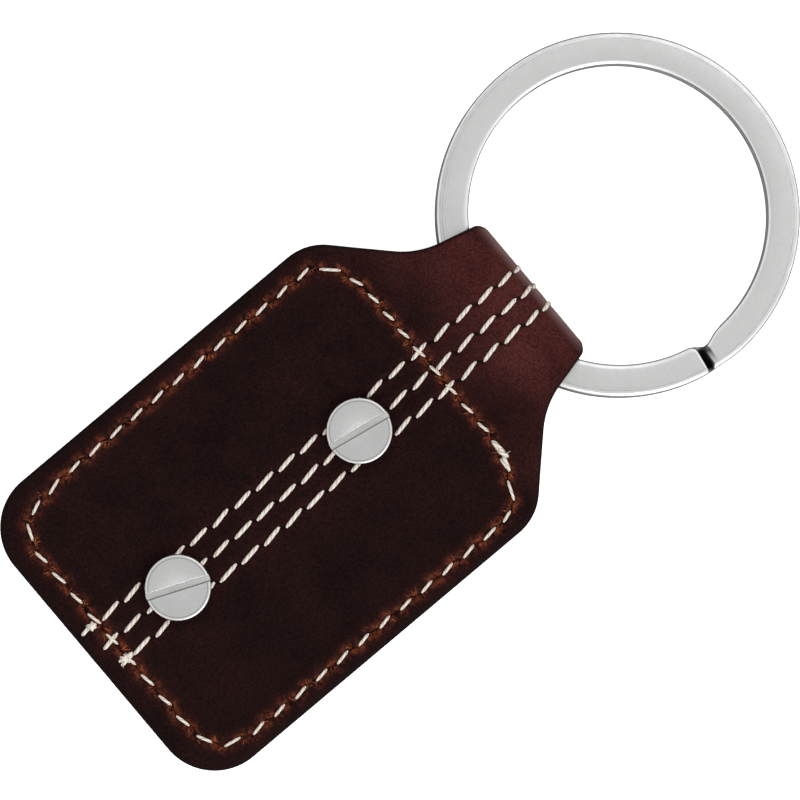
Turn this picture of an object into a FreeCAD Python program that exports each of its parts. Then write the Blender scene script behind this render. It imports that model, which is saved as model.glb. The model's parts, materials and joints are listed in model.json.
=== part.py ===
import FreeCAD, Part
import math
import os

# Leather key fob on a flat split ring, lying on its back.  Millimetres, +Z up.
# While it is drawn, X runs across the fob and Y from its bottom edge towards the ring.
# At the end everything moves back along Y, so that the origin is under the middle of the whole.

V = FreeCAD.Vector
X_AXIS = V(1, 0, 0)
Z_AXIS = V(0, 0, 1)

# ---- driving dimensions ------------------------------------------------------------------------
# leather and board
LEATHER = 1.1                # thickness of the strap
FILLER = 2.0                 # thickness of the board between the two leaves
FILLER_END = 43.9            # the board stops just past the top seam, where the leaves part

# outline of the fob, seen from the front
BODY_HALF_WIDTH = 17.17
BOTTOM_CORNER_RADIUS = 5.75
SHOULDER_START = 38.9
SHOULDER_RADIUS = 5.3
SHOULDER_LEAN = 46.0         # degrees in from straight up
NECK_START = 47.0
NECK_RADIUS = 8.3
NECK_LEAN = 14.0

# two-part slotted screws
HEAD_RADIUS = 3.18
HEAD_CHAMFER = 0.18
SCREW_HEAD = 1.0             # height of the slotted head
POST_HEAD = 1.3              # height of the flat head on the back
BARREL_RADIUS = 1.9
HOLE_CLEARANCE = 0.05
SHANK_RADIUS = 1.25
SHANK_CLEARANCE = 0.04
BARREL_SHORT = 0.3           # the barrel stops this far under the slotted head
BORE_PAST_SHANK = 0.6        # spare depth of the bore beyond the end of the shank
SLOT_WIDTH = 0.68
SLOT_DEPTH = 0.45
SCREWS = {"upper": (-0.1, 33.5, -10.0), "lower": (0.2, 10.66, -22.5)}    # X, Y, slot direction

# split ring: flat wire wound in two coils
RING_OUTER_RADIUS = 17.5
BAND = 3.1                   # width of the wire, measured along the ring's radius
COIL = 1.0                   # thickness of one coil
COIL_GAP = 0.05
WIRE_CHAMFER = 0.3
TOP_END = -10.1              # direction of the upper coil's cut end, degrees from +X
JOG_START = -6.0             # the upper coil begins to dip here and is one layer down at JOG_END
JOG_END = -9.9
LOWER_END = 0.5              # direction of the lower coil's cut end
JOG_STEPS = 8
AXIS_TO_RING_CENTRE = 14.45  # from the loop's axis, which the ring swings about, to its centre

# loop of leather that holds the ring
LOOP_AXIS_Y = 51.3
LOOP_AXIS_Z = 4.7
LOOP_CORNER_RADIUS = 2.8     # inner face
LOOP_CORNER_SPREAD = 0.55    # the two corner arcs sit this far above and below the axis
BEND_RADIUS = 2.4            # inner face of the bend where each leaf leaves the board

# stitching
THREAD_WIDTH = 0.45
SEAM_THREAD_WIDTH = 0.4
THREAD_HEIGHT = 0.4
THREAD_PROUD = 0.2           # how far a needle stitch stands out of the leather
LEG_HALF_SHARE = 0.07        # half a leg's width, as a share of the stitch pitch
STITCH_SLOPE_SHARE = 0.2     # how much of the pitch a stitch takes to come up out of its hole
HOLE_DIP_SHARE = 0.6         # how far the thread dips at a hole, as a share of its height
ROW_SPACING = 2.24
ROW_PITCH = 2.78
ROW_STARTS = {"left": 2.5, "centre": 0.8, "right": 2.2}     # first hole above the bottom edge

# edge seam: corner holes in order, with the number of stitches that leads to the next one
EDGE_SEAM = [
    (-11.7, 2.5, 1), (-14.1, 4.0, 1), (-14.6, 6.4, 1), (-14.95, 9.2, 12), (-15.0, 40.3, 1),
    (-12.3, 42.2, 1), (-9.5, 42.7, 7), (8.4, 42.75, 2), (12.1, 41.8, 1), (15.0, 40.0, 1),
    (15.4, 38.0, 12), (15.4, 6.6, 1), (14.2, 3.7, 1), (11.5, 2.85, 9)]

# ---- levels and places worked out from them ----------------------------------------------------
BACK_OUTSIDE = POST_HEAD
BACK_INSIDE = BACK_OUTSIDE + LEATHER
FRONT_INSIDE = BACK_INSIDE + FILLER
FRONT_OUTSIDE = FRONT_INSIDE + LEATHER
SEAM_LOCK = (BACK_INSIDE + FRONT_INSIDE) / 2      # the two edge threads lock in the board's middle
RING_HALF_HEIGHT = COIL + COIL_GAP / 2
ACROSS = 60.0                                     # longer than the fob is wide


# ---- small helpers -----------------------------------------------------------------------------
def moved(point, direction, distance):
    return point + direction * distance


def turned(vector, degrees):
    """The vector turned in the YZ plane, positive from +Y to +Z."""
    angle = math.radians(degrees)
    y = vector.y * math.cos(angle) - vector.z * math.sin(angle)
    z = vector.y * math.sin(angle) + vector.z * math.cos(angle)
    return V(0, y, z)


def line(start, end):
    return Part.LineSegment(start, end).toShape()


def arc(start, middle, end):
    return Part.Arc(start, middle, end).toShape()


def prism(edges, push):
    return Part.Face(Part.Wire(edges)).extrude(push)


def polygon_prism(points, push):
    return Part.Face(Part.makePolygon(points + points[:1])).extrude(push)


def joined(solids):
    return solids[0].multiFuse(solids[1:]).removeSplitter()


# ---- outline of the fob ------------------------------------------------------------------------
def outline_half(side):
    """Edges of one side of the outline, from the bottom edge up to the fold.  side: 1 or -1."""
    corner = BODY_HALF_WIDTH - BOTTOM_CORNER_RADIUS
    dip = BOTTOM_CORNER_RADIUS * (1 - math.sqrt(0.5))

    shoulder = math.radians(SHOULDER_LEAN)
    shoulder_centre = BODY_HALF_WIDTH - SHOULDER_RADIUS
    shoulder_end_x = shoulder_centre + SHOULDER_RADIUS * math.cos(shoulder)
    shoulder_end_y = SHOULDER_START + SHOULDER_RADIUS * math.sin(shoulder)
    shoulder_mid_x = shoulder_centre + SHOULDER_RADIUS * math.cos(shoulder / 2)
    shoulder_mid_y = SHOULDER_START + SHOULDER_RADIUS * math.sin(shoulder / 2)

    neck_start_x = shoulder_end_x - (NECK_START - shoulder_end_y) * math.tan(shoulder)
    neck_centre_x = neck_start_x + NECK_RADIUS * math.cos(shoulder)
    neck_centre_y = NECK_START + NECK_RADIUS * math.sin(shoulder)

    def on_neck(degrees):
        lean = math.radians(degrees)
        x = neck_centre_x - NECK_RADIUS * math.cos(lean)
        return side * x, neck_centre_y - NECK_RADIUS * math.sin(lean)

    neck_end_x, neck_end_y = on_neck(NECK_LEAN)
    fold_y = LOOP_AXIS_Y + LOOP_CORNER_RADIUS + 2 * LEATHER     # clear of the folded strap
    fold_x = neck_end_x - side * (fold_y - neck_end_y) * math.tan(math.radians(NECK_LEAN))

    bottom = V(0, 0, 0)
    corner_start = V(side * corner, 0, 0)
    corner_middle = V(side * (BODY_HALF_WIDTH - dip), dip, 0)
    corner_end = V(side * BODY_HALF_WIDTH, BOTTOM_CORNER_RADIUS, 0)
    shoulder_start = V(side * BODY_HALF_WIDTH, SHOULDER_START, 0)
    shoulder_middle = V(side * shoulder_mid_x, shoulder_mid_y, 0)
    shoulder_end = V(side * shoulder_end_x, shoulder_end_y, 0)
    neck_start = V(side * neck_start_x, NECK_START, 0)
    neck_middle = V(*on_neck((SHOULDER_LEAN + NECK_LEAN) / 2), 0)
    neck_end = V(neck_end_x, neck_end_y, 0)
    fold = V(fold_x, fold_y, 0)
    return [
        line(bottom, corner_start),
        arc(corner_start, corner_middle, corner_end),
        line(corner_end, shoulder_start),
        arc(shoulder_start, shoulder_middle, shoulder_end),
        line(shoulder_end, neck_start),
        arc(neck_start, neck_middle, neck_end),
        line(neck_end, fold),
        line(fold, V(0, fold_y, 0))]


def outline_prism(bottom, top):
    """A block of the fob's outline between two levels."""
    edges = Part.__sortEdges__(outline_half(1) + outline_half(-1))
    body = prism(edges, V(0, 0, top - bottom))
    body.translate(V(0, 0, bottom))
    return body


# ---- the strap's path, seen from the side ------------------------------------------------------
def half_path(side, offset):
    """Segments from the bottom edge to the fold, for the front (side 1) or back (side -1) leaf.

    offset is the distance outwards from the strap's inner face.
    """
    leaf_z = (FRONT_INSIDE if side > 0 else BACK_INSIDE) + side * offset
    up = V(0, 0, side)
    bend_centre = V(0, FILLER_END, leaf_z + side * (BEND_RADIUS - offset))
    bend_radius = BEND_RADIUS - offset
    loop_centre = V(0, LOOP_AXIS_Y, LOOP_AXIS_Z + side * LOOP_CORNER_SPREAD)
    loop_radius = LOOP_CORNER_RADIUS + offset

    # the slope is the straight line that touches both circles and crosses between them
    between = bend_centre - loop_centre
    opening = math.degrees(math.acos((loop_radius + bend_radius) / between.Length))
    out = turned(between.normalize(), -side * opening)
    bend_middle = (out + up).normalize()
    loop_middle = (out + V(0, 1, 0)).normalize()

    leaf_start = V(0, 0, leaf_z)
    bend_start = V(0, FILLER_END, leaf_z)
    bend_end = moved(bend_centre, out, -bend_radius)
    slope_end = moved(loop_centre, out, loop_radius)
    fold = moved(loop_centre, V(0, 1, 0), loop_radius)
    return [
        (leaf_start, bend_start),
        (bend_start, moved(bend_centre, bend_middle, -bend_radius), bend_end),
        (bend_end, slope_end),
        (slope_end, moved(loop_centre, loop_middle, loop_radius), fold)]


def strap_path(offset):
    """Edges in order: up the front leaf, over the fold and down the back leaf."""
    front = half_path(1, offset)
    back = [segment[::-1] for segment in half_path(-1, offset)[::-1]]
    segments = front + [(front[-1][-1], back[0][0])] + back
    return [line(*segment) if len(segment) == 2 else arc(*segment) for segment in segments]


def place_on(edges, distance):
    """The point at a distance along the edges, and the direction out of the strap there."""
    for edge in edges:
        if distance <= edge.Length:
            break
        distance -= edge.Length
    parameter = edge.getParameterByLength(min(distance, edge.Length))
    return edge.valueAt(parameter), turned(edge.tangentAt(parameter), 90)


# ---- leather and board -------------------------------------------------------------------------
def barrel_holes():
    radius = BARREL_RADIUS + HOLE_CLEARANCE
    return [Part.makeCylinder(radius, FRONT_OUTSIDE + SCREW_HEAD, V(x, y, 0))
            for x, y, _ in SCREWS.values()]


def leather_strap():
    outside = strap_path(LEATHER)
    inside = strap_path(0)
    front_end = line(V(0, 0, FRONT_INSIDE), V(0, 0, FRONT_OUTSIDE))
    back_end = line(V(0, 0, BACK_OUTSIDE), V(0, 0, BACK_INSIDE))
    edges = Part.__sortEdges__(outside + inside + [front_end, back_end])
    strap = prism(edges, X_AXIS * ACROSS)
    strap.translate(X_AXIS * (-ACROSS / 2))
    over_all = outline_prism(-BODY_HALF_WIDTH, BODY_HALF_WIDTH)
    return strap.common(over_all).cut(barrel_holes())


def filler_board():
    board = outline_prism(BACK_INSIDE, FRONT_INSIDE)
    below_end = Part.makeBox(ACROSS, FILLER_END, FRONT_OUTSIDE, V(-ACROSS / 2, 0, 0))
    return board.common(below_end).cut(barrel_holes())


# ---- stitching ---------------------------------------------------------------------------------
def stitch_chain(place, count, pitch, proud, leg_depth):
    """Closed outline of a row of stitches: each lies on the face, with a leg down each hole."""
    over = []
    under = []
    leg = LEG_HALF_SHARE
    slope = STITCH_SLOPE_SHARE
    sunk = proud - THREAD_HEIGHT
    hole_top = proud - THREAD_HEIGHT * HOLE_DIP_SHARE

    def at(stitches, height):
        point, out = place(stitches * pitch)
        return moved(point, out, height)

    for i in range(count):
        over += [at(i, hole_top), at(i + slope, proud), at(i + 0.5, proud),
                 at(i + 1 - slope, proud)]
        under += [at(i, -leg_depth), at(i + leg, -leg_depth), at(i + leg, sunk),
                  at(i + 0.5, sunk), at(i + 1 - leg, sunk), at(i + 1 - leg, -leg_depth)]
    over.append(at(count, hole_top))
    under.append(at(count, -leg_depth))
    return over + under[::-1]


def fastener_clearance():
    """Where the screws have cut the middle rows and pressed them flat."""
    shapes = []
    radius = HEAD_RADIUS + HOLE_CLEARANCE
    for x, y, _ in SCREWS.values():
        shapes.append(Part.makeCylinder(radius, SCREW_HEAD, V(x, y, FRONT_OUTSIDE)))
        shapes.append(Part.makeCylinder(radius, POST_HEAD, V(x, y, BACK_OUTSIDE - POST_HEAD)))
    return shapes + barrel_holes()


def middle_row(x, start, bobbin):
    """One row over the whole strap: the needle thread outside, or the bobbin thread inside."""
    edges = strap_path(0 if bobbin else LEATHER)
    run = sum(edge.Length for edge in edges) - 2 * start
    count = int(run // ROW_PITCH)
    proud = 0.0 if bobbin else THREAD_PROUD
    facing = -1 if bobbin else 1

    def place(distance):
        point, out = place_on(edges, start + distance)
        return point, out * facing

    points = stitch_chain(place, count, run / count, proud, LEATHER / 2)
    row = polygon_prism(points, X_AXIS * THREAD_WIDTH)
    row.translate(X_AXIS * (x - THREAD_WIDTH / 2))
    return row.cut(fastener_clearance())


def edge_seam(back):
    """The seam round the fob: the needle thread on the front, or the bobbin thread on the back."""
    face = BACK_OUTSIDE if back else FRONT_OUTSIDE
    out = V(0, 0, -1 if back else 1)
    leg_depth = abs(face - SEAM_LOCK)
    leg_radius = SEAM_THREAD_WIDTH / 2
    runs = []
    for i, (x, y, count) in enumerate(EDGE_SEAM):
        next_x, next_y, _ = EDGE_SEAM[(i + 1) % len(EDGE_SEAM)]
        start = V(x, y, face)
        along = V(next_x, next_y, face) - start
        length = along.Length
        along.normalize()
        points = stitch_chain(lambda distance: (moved(start, along, distance), out),
                              count, length / count, THREAD_PROUD, leg_depth)
        across = Z_AXIS.cross(along) * SEAM_THREAD_WIDTH
        run = polygon_prism(points, across)
        run.translate(across * -0.5)
        leg_bottom = min(face, face - out.z * leg_depth)
        runs += [run, Part.makeCylinder(leg_radius, leg_depth, V(x, y, leg_bottom))]
    return joined(runs)


# ---- two-part screws ---------------------------------------------------------------------------
def disc(radius, height, chamfered_side):
    """A flat head from z 0 to height, chamfered round its outer face (1 top, -1 bottom)."""
    c = HEAD_CHAMFER
    outline = [V(0, 0, 0), V(radius, 0, 0), V(radius, 0, height - c), V(radius - c, 0, height),
               V(0, 0, height)]
    if chamfered_side < 0:
        outline = [V(p.x, 0, height - p.z) for p in outline]
    profile = Part.Face(Part.makePolygon(outline + outline[:1]))
    return profile.revolve(V(0, 0, 0), Z_AXIS, 360)


def slotted_screw(x, y, slot_direction):
    head = disc(HEAD_RADIUS, SCREW_HEAD, 1)
    slot = Part.makeBox(SLOT_WIDTH, 4 * HEAD_RADIUS, SCREW_HEAD,
                        V(-SLOT_WIDTH / 2, -2 * HEAD_RADIUS, SCREW_HEAD - SLOT_DEPTH))
    slot.rotate(V(0, 0, 0), Z_AXIS, slot_direction)
    shank_length = FRONT_OUTSIDE - BACK_INSIDE
    shank = Part.makeCylinder(SHANK_RADIUS, shank_length, V(0, 0, -shank_length))
    screw = joined([head.cut(slot), shank])
    screw.translate(V(x, y, FRONT_OUTSIDE))
    return screw


def screw_post(x, y):
    head = disc(HEAD_RADIUS, POST_HEAD, -1)
    barrel_top = FRONT_OUTSIDE - BARREL_SHORT
    barrel = Part.makeCylinder(BARREL_RADIUS, barrel_top)
    bore_bottom = BACK_INSIDE - BORE_PAST_SHANK
    bore = Part.makeCylinder(SHANK_RADIUS + SHANK_CLEARANCE, barrel_top, V(0, 0, bore_bottom))
    post = joined([head, barrel]).cut(bore)
    post.translate(V(x, y, 0))
    return post


# ---- split ring --------------------------------------------------------------------------------
def wire_section(direction, middle_z):
    """Outline of the flat wire, with its corners taken off, at a direction round the ring."""
    inner = RING_OUTER_RADIUS - BAND
    outer = RING_OUTER_RADIUS
    half = COIL / 2
    c = WIRE_CHAMFER
    corners = [(inner + c, -half), (outer - c, -half), (outer, c - half), (outer, half - c),
               (outer - c, half), (inner + c, half), (inner, half - c), (inner, c - half)]
    angle = math.radians(direction)
    points = [V(r * math.cos(angle), r * math.sin(angle), middle_z + z) for r, z in corners]
    return Part.makePolygon(points + points[:1])


def coil(start, end, middle_z):
    """Clockwise run of wire from one direction to another, seen from above."""
    return Part.Face(wire_section(start, middle_z)).revolve(V(0, 0, 0), Z_AXIS, end - start)


def split_ring():
    layer = (COIL + COIL_GAP) / 2
    sections = []
    for i in range(JOG_STEPS + 1):
        share = i / JOG_STEPS
        eased = share * share * (3 - 2 * share)
        direction = JOG_START + (JOG_END - JOG_START) * share
        sections.append(wire_section(direction, layer - 2 * layer * eased))
    jog = Part.makeLoft(sections, True, True)
    upper = coil(TOP_END, JOG_START - 360, layer)
    lower = coil(JOG_END, LOWER_END - 360, -layer)
    ring = joined([upper, jog, lower])
    ring.translate(V(0, LOOP_AXIS_Y + AXIS_TO_RING_CENTRE, LOOP_AXIS_Z))
    return ring


def ring_rest_tilt():
    """How far the ring drops about the loop's axis before its far edge rests on the table."""
    reach = AXIS_TO_RING_CENTRE + RING_OUTER_RADIUS - WIRE_CHAMFER
    diagonal = math.hypot(reach, RING_HALF_HEIGHT)
    return math.degrees(math.asin(LOOP_AXIS_Z / diagonal) - math.atan2(RING_HALF_HEIGHT, reach))


# ---- the whole keychain ------------------------------------------------------------------------
def build():
    parts = {"leather_strap": leather_strap(), "filler_board": filler_board()}
    for place, (x, y, slot_direction) in SCREWS.items():
        parts[place + "_screw"] = slotted_screw(x, y, slot_direction)
        parts[place + "_screw_post"] = screw_post(x, y)
    for i, (place, start) in enumerate(ROW_STARTS.items()):
        x = (i - 1) * ROW_SPACING
        parts[place + "_row_needle_thread"] = middle_row(x, start, bobbin=False)
        parts[place + "_row_bobbin_thread"] = middle_row(x, start, bobbin=True)
    parts["edge_seam_needle_thread"] = edge_seam(back=False)
    parts["edge_seam_bobbin_thread"] = edge_seam(back=True)

    ring = split_ring()
    loop_axis = V(0, LOOP_AXIS_Y, LOOP_AXIS_Z)
    ring.rotate(loop_axis, X_AXIS, -ring_rest_tilt())
    parts["split_ring"] = ring
    return parts


parts = build()
whole_length = parts["split_ring"].optimalBoundingBox().YMax
os.makedirs("parts", exist_ok=True)
for name, shape in parts.items():
    shape.translate(V(0, -whole_length / 2, 0))
    shape.exportStep("parts/" + name + ".step")
    print(name, "valid" if shape.isValid() else "NOT VALID", len(shape.Solids), "solid(s)",
          round(shape.Volume, 2), "mm3")
print("whole length", round(whole_length, 3), "ring tilt", round(ring_rest_tilt(), 3))
print("loop axis at y", round(LOOP_AXIS_Y - whole_length / 2, 3), "z", LOOP_AXIS_Z)
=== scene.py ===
import json
import math
import random

import bmesh
import bpy
import numpy as np
from mathutils import Matrix, Vector
from mathutils.geometry import delaunay_2d_cdt


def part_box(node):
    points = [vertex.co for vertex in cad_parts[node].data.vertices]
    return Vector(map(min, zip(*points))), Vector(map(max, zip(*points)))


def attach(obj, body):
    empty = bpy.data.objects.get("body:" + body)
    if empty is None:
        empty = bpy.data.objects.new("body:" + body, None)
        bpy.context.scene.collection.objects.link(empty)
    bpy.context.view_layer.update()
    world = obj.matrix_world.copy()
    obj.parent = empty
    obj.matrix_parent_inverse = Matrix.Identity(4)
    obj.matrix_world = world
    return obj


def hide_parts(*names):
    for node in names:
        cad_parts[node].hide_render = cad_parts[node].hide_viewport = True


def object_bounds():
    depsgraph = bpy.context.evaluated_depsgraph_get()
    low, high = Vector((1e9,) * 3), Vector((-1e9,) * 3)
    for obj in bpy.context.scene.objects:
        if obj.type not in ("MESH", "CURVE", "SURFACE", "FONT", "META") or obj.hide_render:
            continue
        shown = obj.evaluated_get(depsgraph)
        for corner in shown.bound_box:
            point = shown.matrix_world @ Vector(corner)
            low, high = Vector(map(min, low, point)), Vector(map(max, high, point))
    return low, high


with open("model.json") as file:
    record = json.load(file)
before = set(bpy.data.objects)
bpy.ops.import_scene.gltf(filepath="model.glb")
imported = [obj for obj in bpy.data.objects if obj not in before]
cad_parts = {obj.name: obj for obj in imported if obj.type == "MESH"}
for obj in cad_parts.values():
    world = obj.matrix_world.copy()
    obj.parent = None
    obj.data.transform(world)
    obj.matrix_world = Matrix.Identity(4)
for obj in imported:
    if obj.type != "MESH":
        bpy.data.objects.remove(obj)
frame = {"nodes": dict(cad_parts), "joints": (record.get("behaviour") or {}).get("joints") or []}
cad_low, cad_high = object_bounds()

# Leather key fob on a flat split ring.  Lengths are millimetres until a mesh is made.
# Positions on the leather are (x, s): x across the fob, and s along the strap's outer face, from the
# front leaf's bottom edge, over the fold, to the back leaf's bottom edge.

MM = 0.001

# ---- sizes shared with the frame ---------------------------------------------------------------
LEATHER = 1.1
BODY_HALF_WIDTH = 17.17
BOTTOM_CORNER_RADIUS = 5.75
SHOULDER_START = 38.9
SHOULDER_RADIUS = 5.3
SHOULDER_LEAN = math.radians(46.0)
NECK_START = 47.0
NECK_RADIUS = 8.3
NECK_LEAN = math.radians(14.0)
FILLER_END = 43.9
BEND_RADIUS = 2.4
LOOP_CORNER_RADIUS = 2.8
LOOP_CORNER_SPREAD = 0.55
HEAD_RADIUS = 3.18
SCREW_HEAD = 1.0
POST_HEAD = 1.3
BARREL_RADIUS = 1.9
HOLE_RADIUS = 1.95
SHANK_RADIUS = 1.25
SLOT_WIDTH = 0.68
SLOT_DEPTH = 0.45
SLOT_DIRECTIONS = {"upper": -10.0, "lower": -22.5}
RING_OUTER_RADIUS = 17.5
BAND = 3.1
COIL = 1.0
COIL_GAP = 0.05
TOP_END = -10.1
JOG_END = -9.9
WIRE_CHAMFER = 0.3
LOWER_END = 0.5
AXIS_TO_RING_CENTRE = 14.45

strap_low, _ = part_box("leather_strap")
BOTTOM_EDGE = strap_low.y / MM               # row-frame y of the fob's bottom edge
BOARD_LOW, BOARD_HIGH = [corner.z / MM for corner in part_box("filler_board")]
FRONT_OUTSIDE = BOARD_HIGH + LEATHER
BACK_OUTSIDE = BOARD_LOW - LEATHER
SWING = next(joint for joint in frame["joints"] if joint["name"] == "ring_swing")
LOOP_AXIS_Y = SWING["pos_m"][1] / MM - BOTTOM_EDGE
LOOP_AXIS_Z = SWING["pos_m"][2] / MM
FOLD_Y = LOOP_AXIS_Y + LOOP_CORNER_RADIUS + LEATHER
SCREWS = {}
for place in ("upper", "lower"):
    head_low, head_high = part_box(place + "_screw_post")
    SCREWS[place] = ((head_low.x + head_high.x) / 2 / MM, (head_low.y + head_high.y) / 2 / MM - BOTTOM_EDGE)

# ---- stitching ---------------------------------------------------------------------------------
ROW_SPACING = 2.24
ROW_PITCHES = (2.745, 2.76, 2.715)
ROW_STARTS = (2.9, 1.0, 3.0)
ROW_STITCH = 2.15            # visible length
ROW_THREAD = 0.41
SEAM_STITCH_SHARE = 0.56     # visible share of the pitch
SEAM_THREAD = 0.29
STITCH_SLANT = math.radians(10.0)
THREAD_PROUD = 0.2           # over the leather, on the fold
ROW_CROWN = THREAD_PROUD - ROW_THREAD / 2
SEAM_CROWN = 0.1             # the edge seam was sewn last and lies over the rows
EDGE_SEAM = [                # corner (x, y), and the number of stitches to the next corner
    (-11.7, 2.5, 1), (-14.1, 4.0, 1), (-14.6, 6.4, 1), (-14.95, 9.2, 12), (-15.0, 40.3, 1),
    (-12.3, 42.2, 1), (-10.0, 42.65, 3), (-3.4, 42.7, 3), (3.7, 42.75, 2),
    (8.4, 42.75, 2), (12.1, 41.8, 1), (15.0, 40.0, 1), (15.4, 38.0, 12), (15.4, 6.6, 1),
    (14.2, 3.7, 1), (11.5, 2.85, 9)]

# ---- leather mesh ------------------------------------------------------------------------------
FINE = 0.17                  # spacing of points beside the stitches; twice this elsewhere
INNER_SPACING = 1.2
OUTLINE_STEP = 0.3
OUTER_ROUND = 0.42
FOLD_CORNER_WORN = 0.8       # the fold's two corners are rubbed round over this length
INNER_ROUND = 0.2


# ---- the strap's path --------------------------------------------------------------------------
def half_path(side):
    """Dense points and outward normals in (y, z) from the bottom edge to the fold's middle."""
    leaf_z = FRONT_OUTSIDE if side > 0 else BACK_OUTSIDE
    bend_radius = BEND_RADIUS - LEATHER
    loop_radius = LOOP_CORNER_RADIUS + LEATHER
    bend_centre = np.array([FILLER_END, leaf_z + side * bend_radius])
    loop_centre = np.array([LOOP_AXIS_Y, LOOP_AXIS_Z + side * LOOP_CORNER_SPREAD])
    between = bend_centre - loop_centre
    opening = math.acos((loop_radius + bend_radius) / np.linalg.norm(between))
    lean = math.atan2(between[1], between[0]) - side * opening
    upright = side * math.pi / 2

    def fan(start, end, radius):
        steps = max(8, int(abs(end - start) * radius / 0.02))
        angles = np.linspace(start, end, steps)
        return np.stack([np.cos(angles), np.sin(angles)], 1)

    leaf = np.linspace(0, FILLER_END, 2000)
    leaf_points = np.stack([leaf, np.full_like(leaf, leaf_z)], 1)
    leaf_normals = np.tile([0.0, float(side)], (len(leaf), 1))
    bend = fan(upright, lean, bend_radius)
    loop = fan(lean, 0.0, loop_radius)
    points = np.concatenate([leaf_points, bend_centre - bend * bend_radius,
                             loop_centre + loop * loop_radius])
    return points, np.concatenate([leaf_normals, bend, loop])


class Strap:
    """Positions and normals along the strap's outer face."""

    def __init__(self):
        front, front_normals = half_path(1)
        back, back_normals = half_path(-1)
        self.points = np.concatenate([front, back[::-1]])
        self.normals = np.concatenate([front_normals, back_normals[::-1]])
        steps = np.linalg.norm(np.diff(self.points, axis=0), axis=1)
        self.s = np.concatenate([[0], np.cumsum(steps)])
        self.length = self.s[-1]

    def at(self, s):
        s = np.asarray(s, float)
        y = np.interp(s, self.s, self.points[:, 0])
        z = np.interp(s, self.s, self.points[:, 1])
        ny = np.interp(s, self.s, self.normals[:, 0])
        nz = np.interp(s, self.s, self.normals[:, 1])
        size = np.hypot(ny, nz)
        return y, z, ny / size, nz / size

    def place(self, x, s, height):
        """Row-frame points in metres of (x, s) at a height over the outer face."""
        y, z, ny, nz = self.at(s)
        return np.stack([x, y + ny * height + BOTTOM_EDGE, z + nz * height], 1) * MM

    def out(self, s):
        _, _, ny, nz = self.at(s)
        return np.stack([np.zeros_like(ny), ny, nz], 1)


strap = Strap()


def half_width(y):
    """Half the fob's width at a distance above its bottom edge."""
    y = np.asarray(y, float)
    r = BOTTOM_CORNER_RADIUS
    low = np.clip(r - y, 0, r)
    corner = BODY_HALF_WIDTH - r + np.sqrt(np.maximum(r * r - low * low, 0))
    end_x = BODY_HALF_WIDTH - SHOULDER_RADIUS * (1 - math.cos(SHOULDER_LEAN))
    end_y = SHOULDER_START + SHOULDER_RADIUS * math.sin(SHOULDER_LEAN)
    rise = np.clip(y - SHOULDER_START, 0, SHOULDER_RADIUS)
    shoulder = BODY_HALF_WIDTH - SHOULDER_RADIUS + np.sqrt(SHOULDER_RADIUS ** 2 - rise ** 2)
    slope = end_x - (y - end_y) * math.tan(SHOULDER_LEAN)
    neck_x = end_x - (NECK_START - end_y) * math.tan(SHOULDER_LEAN)
    centre_x = neck_x + NECK_RADIUS * math.cos(SHOULDER_LEAN)
    centre_y = NECK_START + NECK_RADIUS * math.sin(SHOULDER_LEAN)
    neck_end = centre_y - NECK_RADIUS * math.sin(NECK_LEAN)
    drop = np.clip(centre_y - y, -NECK_RADIUS, NECK_RADIUS)
    neck = centre_x - np.sqrt(np.maximum(NECK_RADIUS ** 2 - drop ** 2, 0))
    straight = centre_x - NECK_RADIUS * math.cos(NECK_LEAN) - (y - neck_end) * math.tan(NECK_LEAN)
    width = np.select([y < SHOULDER_START, y < end_y, y < NECK_START, y < neck_end],
                      [corner, shoulder, slope, neck], straight)
    worn = np.clip(1 - (FOLD_Y - y) / FOLD_CORNER_WORN, 0, 1)
    return width - 0.5 * worn ** 2


def strap_outline():
    """The flat strap's edge in (x, s), anticlockwise, evenly spaced."""
    r = BOTTOM_CORNER_RADIUS
    turn = np.linspace(0, math.pi / 2, 40)
    corner = np.stack([BODY_HALF_WIDTH - r + r * np.sin(turn), r - r * np.cos(turn)], 1)
    s = np.arange(r, strap.length - r, 0.1)
    side = np.stack([half_width(strap.at(s)[0]), s], 1)
    top = (corner * [1, -1] + [0, strap.length])[::-1]
    right = np.concatenate([corner, side, top])
    edge = np.concatenate([right, right[::-1] * [-1, 1]])
    edge = np.concatenate([edge, edge[:1]])
    walked = np.concatenate([[0], np.cumsum(np.linalg.norm(np.diff(edge, axis=0), axis=1))])
    even = np.linspace(0, walked[-1], int(walked[-1] / OUTLINE_STEP))[:-1]
    return np.stack([np.interp(even, walked, edge[:, i]) for i in (0, 1)], 1)


# ---- where the stitches lie --------------------------------------------------------------------
def seam_holes():
    holes = []
    for i, (x, y, count) in enumerate(EDGE_SEAM):
        next_x, next_y, _ = EDGE_SEAM[(i + 1) % len(EDGE_SEAM)]
        for j in range(count):
            share = j / count
            holes.append((x + (next_x - x) * share, y + (next_y - y) * share))
    return holes


def slanted(start, end, share_or_length, rng):
    """A stitch's two ends: shorter than the pitch, and turned a little anticlockwise."""
    start = np.array(start)
    end = np.array(end)
    along = end - start
    pitch = np.linalg.norm(along)
    length = share_or_length if share_or_length > 1 else share_or_length * pitch
    length *= rng.uniform(0.94, 1.06)
    angle = math.atan2(along[1], along[0]) + STITCH_SLANT + rng.uniform(-0.04, 0.04)
    half = np.array([math.cos(angle), math.sin(angle)]) * length / 2
    middle = (start + end) / 2
    return middle - half, middle + half


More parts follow.
